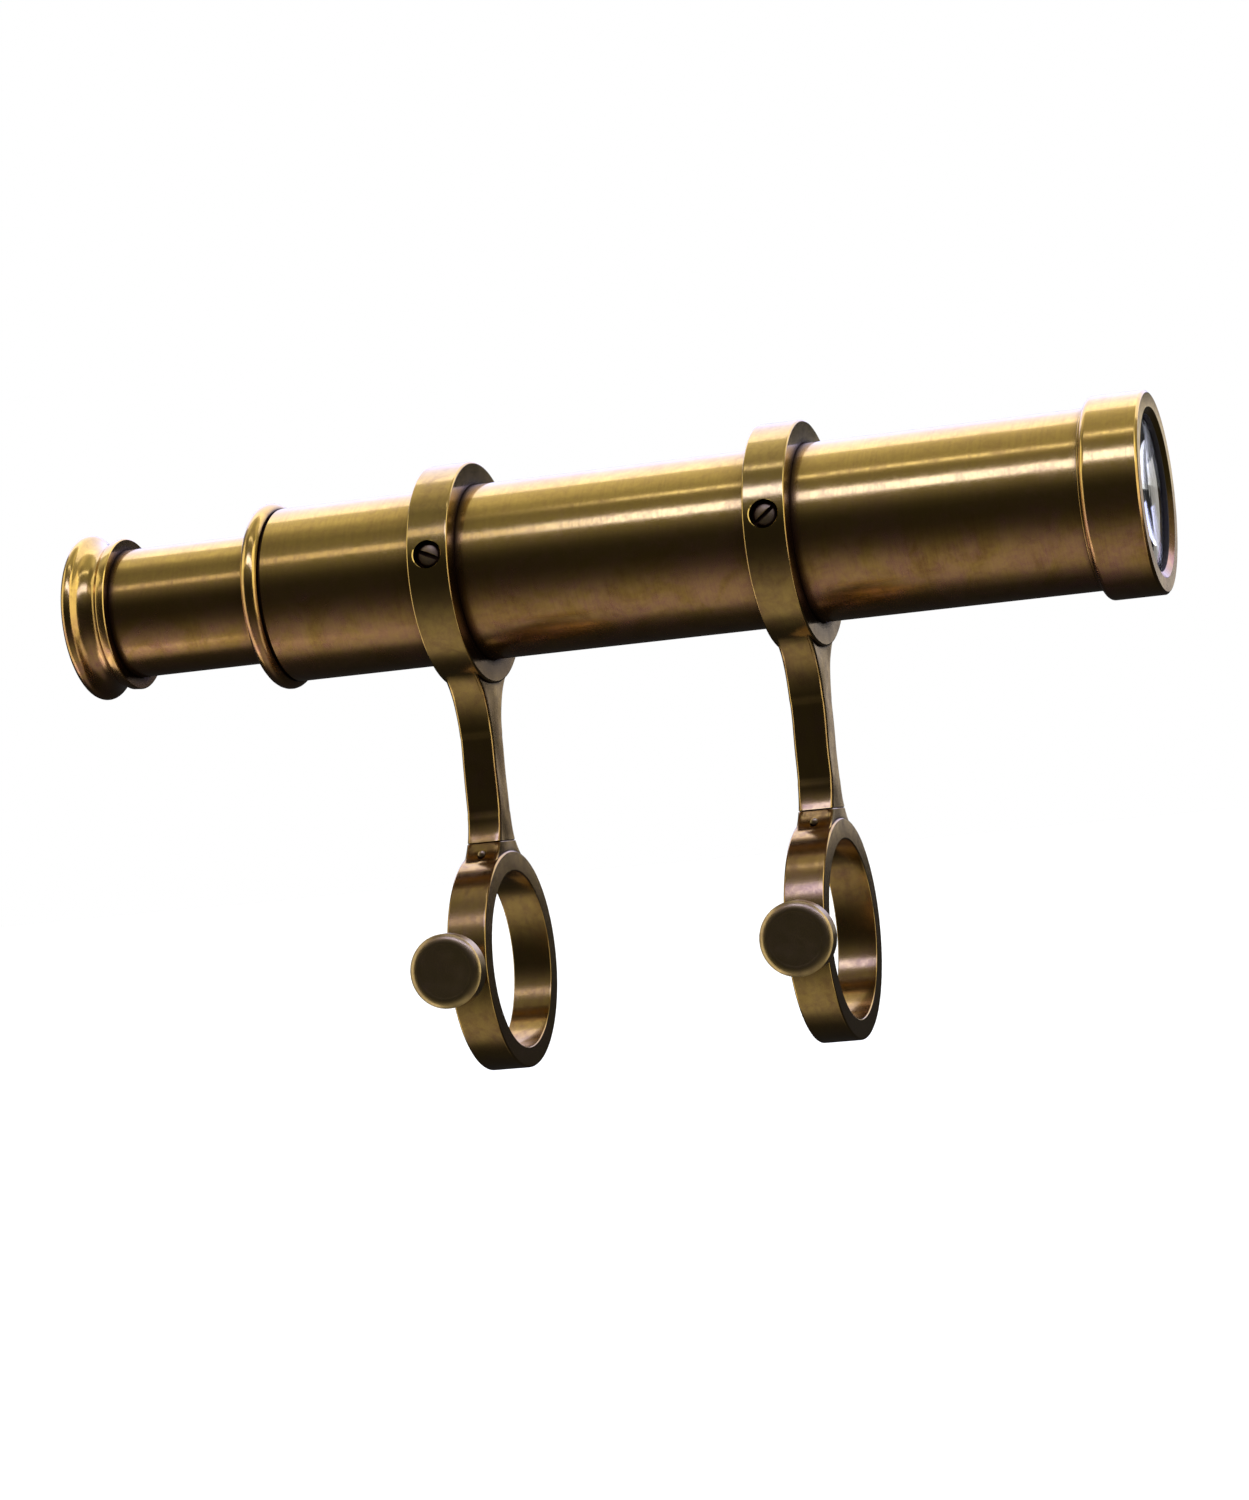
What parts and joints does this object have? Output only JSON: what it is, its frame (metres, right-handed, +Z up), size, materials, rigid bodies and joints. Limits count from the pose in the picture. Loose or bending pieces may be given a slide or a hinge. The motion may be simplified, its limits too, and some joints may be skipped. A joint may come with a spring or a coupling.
{
  "type": "finder scope",
  "caption": "Small brass draw-tube telescope held above a larger one by ring brackets, each clamped from below with a thumb screw.",
  "frame": {"origin": "centre of the rear clamp ring's bore, on the axis of the larger telescope that both clamp rings grip", "axes": "+X along the optical axis towards the objective, +Z up along the bracket arms to the finder's axis at Z = 75 mm, -Y towards the side the screws are on"},
  "size_m": [0.2146, 0.0555, 0.1175],
  "materials": {
    "barrel_brass": "aged, finely brushed, brown patina",
    "bracket_brass": "aged casting, filed and browned",
    "screw_brass": "dark oxidised",
    "blackened_brass": "matt black inside the tubes",
    "optical_glass": "polished",
    "liner_felt": "dark felt"
  },
  "bodies": {
    "scope_body": {"main_tube": "barrel_brass", "objective_cell": "barrel_brass", "crown_lens": "optical_glass", "lens_spacer_ring": "blackened_brass", "flint_lens": "optical_glass", "objective_retaining_ring": "blackened_brass", "front_glare_stop": "blackened_brass", "rear_glare_stop": "blackened_brass", "guide_collar": "barrel_brass", "guide_liner": "liner_felt", "rear_bracket": "bracket_brass", "front_bracket": "bracket_brass", "rear_clamp_ring": "bracket_brass", "front_clamp_ring": "bracket_brass", "arm_pins": "screw_brass", "ring_screws": "screw_brass"},
    "draw_body": {"draw_tube": "barrel_brass", "stop_ring": "blackened_brass", "eyecup": "barrel_brass", "eyepiece_barrel": "blackened_brass", "eye_lens": "optical_glass", "eye_lens_ring": "blackened_brass", "field_stop": "blackened_brass", "field_lens": "optical_glass", "field_lens_ring": "blackened_brass", "erector_tube": "blackened_brass", "rear_erector_lens": "optical_glass", "front_erector_lens": "optical_glass", "erector_stop": "blackened_brass", "erector_rings": "blackened_brass"},
    "rear_pad": {"rear_pressure_pad": "screw_brass"},
    "rear_thumb": {"rear_thumb_screw": "screw_brass"},
    "front_pad": {"front_pressure_pad": "screw_brass"},
    "front_thumb": {"front_thumb_screw": "screw_brass"}
  },
  "joints": [
    {"name": "draw_tube_slide", "type": "slide", "parent": "scope_body", "child": "draw_body", "axis": [1, 0, 0], "range_m": [-0.0118, 0.0295]},
    {"name": "rear_pad_travel", "type": "slide", "parent": "scope_body", "child": "rear_pad", "axis": [0, -1, 0], "range_m": [-0.00721, 0.00161]},
    {"name": "rear_thumb_turn", "type": "hinge", "parent": "rear_pad", "child": "rear_thumb", "pos_m": [0, -0.03, 0], "axis": [0, -1, 0], "range_deg": [-3240, 720]},
    {"name": "front_pad_travel", "type": "slide", "parent": "scope_body", "child": "front_pad", "axis": [0, -1, 0], "range_m": [-0.00161, 0.00161]},
    {"name": "front_thumb_turn", "type": "hinge", "parent": "front_pad", "child": "front_thumb", "pos_m": [0.0662, -0.025, 0], "axis": [0, -1, 0], "range_deg": [-720, 720]}
  ],
  "couplings": [
    {"joint": "rear_pad_travel", "follows": "rear_thumb_turn", "m_per_rad": 0.00012732},
    {"joint": "front_pad_travel", "follows": "front_thumb_turn", "m_per_rad": 0.00012732}
  ]
}
